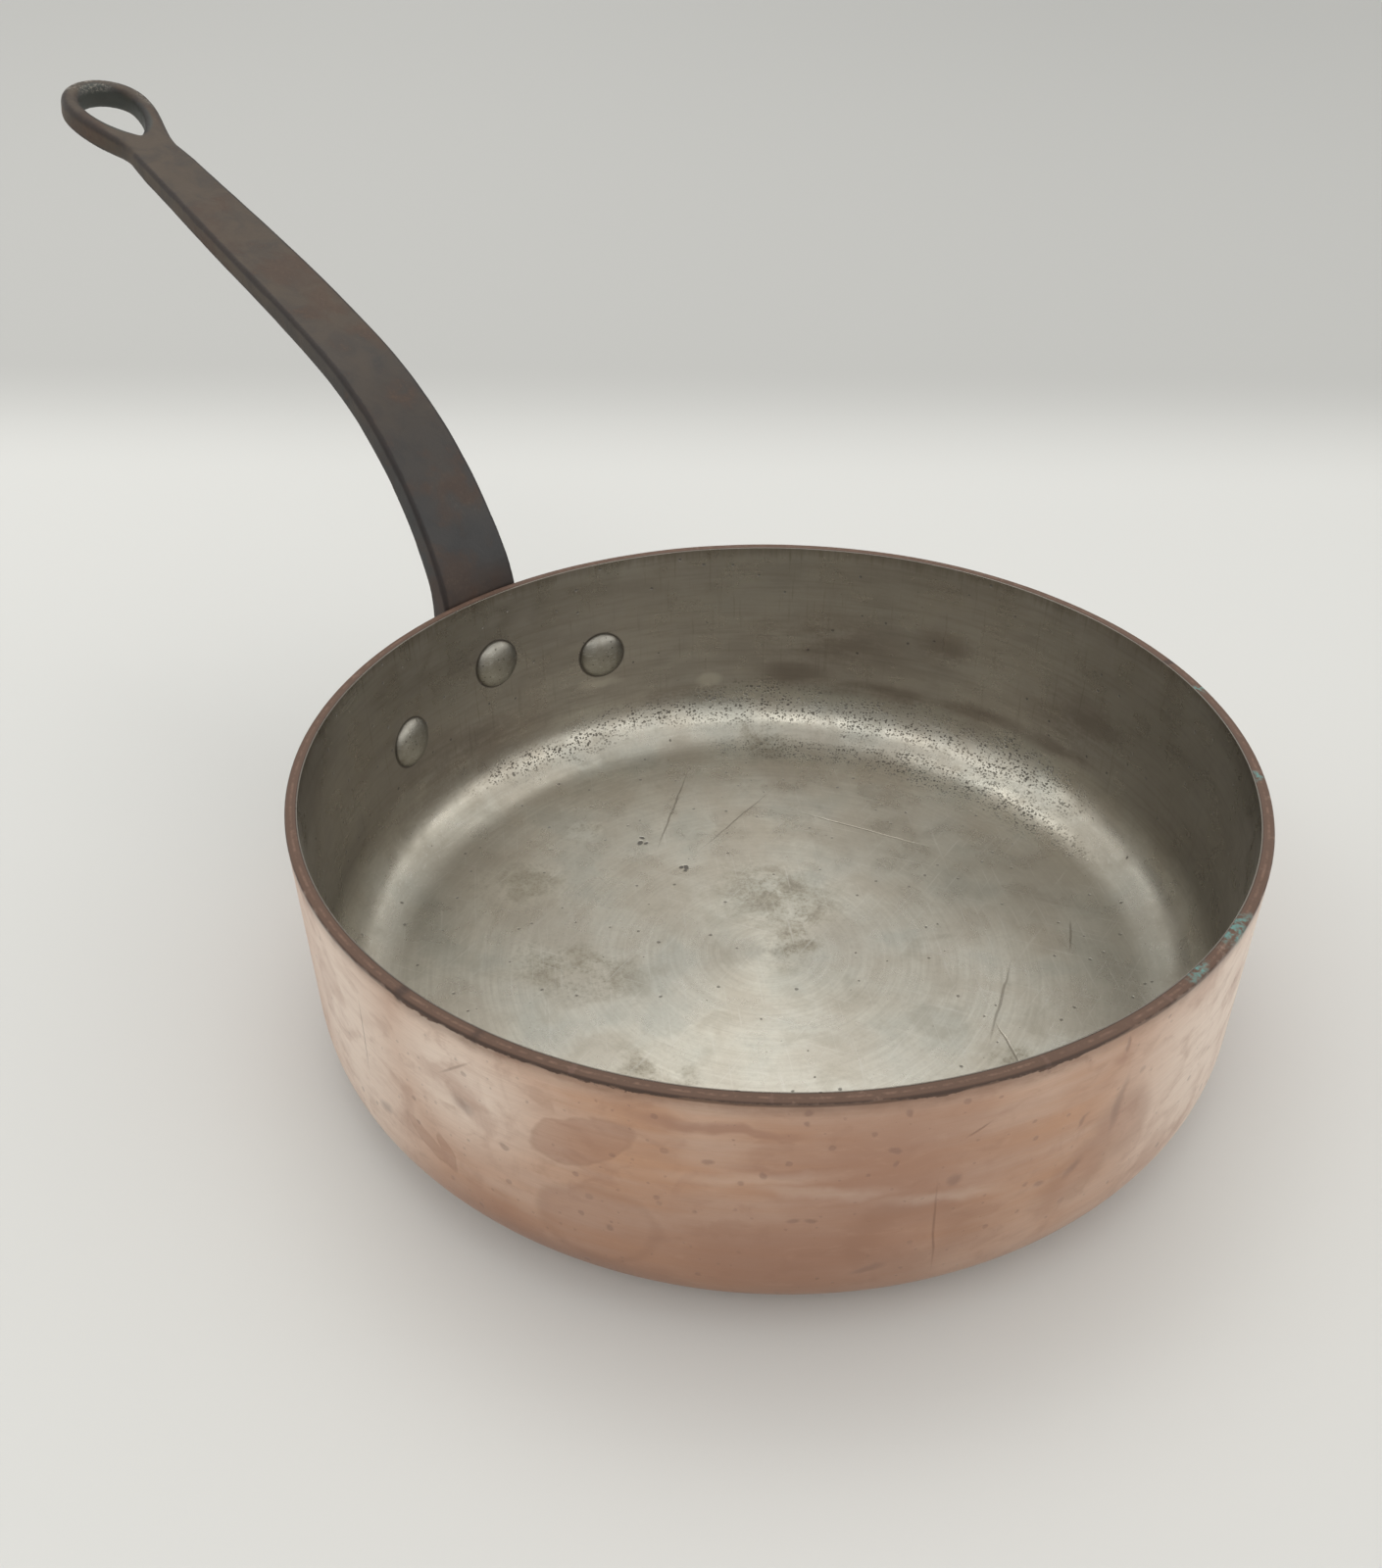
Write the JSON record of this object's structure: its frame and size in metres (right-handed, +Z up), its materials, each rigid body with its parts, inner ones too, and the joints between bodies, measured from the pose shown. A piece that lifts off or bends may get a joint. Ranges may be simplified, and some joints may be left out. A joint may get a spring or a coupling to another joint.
{
  "type": "saute pan",
  "caption": "Round straight-sided copper saute pan with a bonded steel lining and a long curved iron handle that is riveted to the wall and ends in a hanging loop.",
  "frame": {"origin": "centre of the flat base, on the surface that the pan stands on", "axes": "+X from the pan's axis towards the handle, +Z up, and the pan is a mirror image of itself across the plane Y = 0"},
  "size_m": [0.446, 0.24, 0.1895],
  "materials": {
    "copper": "satin polished copper, softly tarnished, with fine scratches and a brown line below the rim",
    "lining_steel": "brushed stainless steel, warm grey, with small dark pits and brownish heat stains",
    "handle_iron": "dark brown-grey cast iron, satin, slightly uneven, with faint rust tints",
    "rivet_steel": "worn steel, low domed heads with small scratches"
  },
  "bodies": {
    "root": {"copper_shell": "copper", "inner_lining": "lining_steel", "handle": "handle_iron", "rivet_left": "rivet_steel", "rivet_centre": "rivet_steel", "rivet_right": "rivet_steel"}
  },
  "joints": []
}
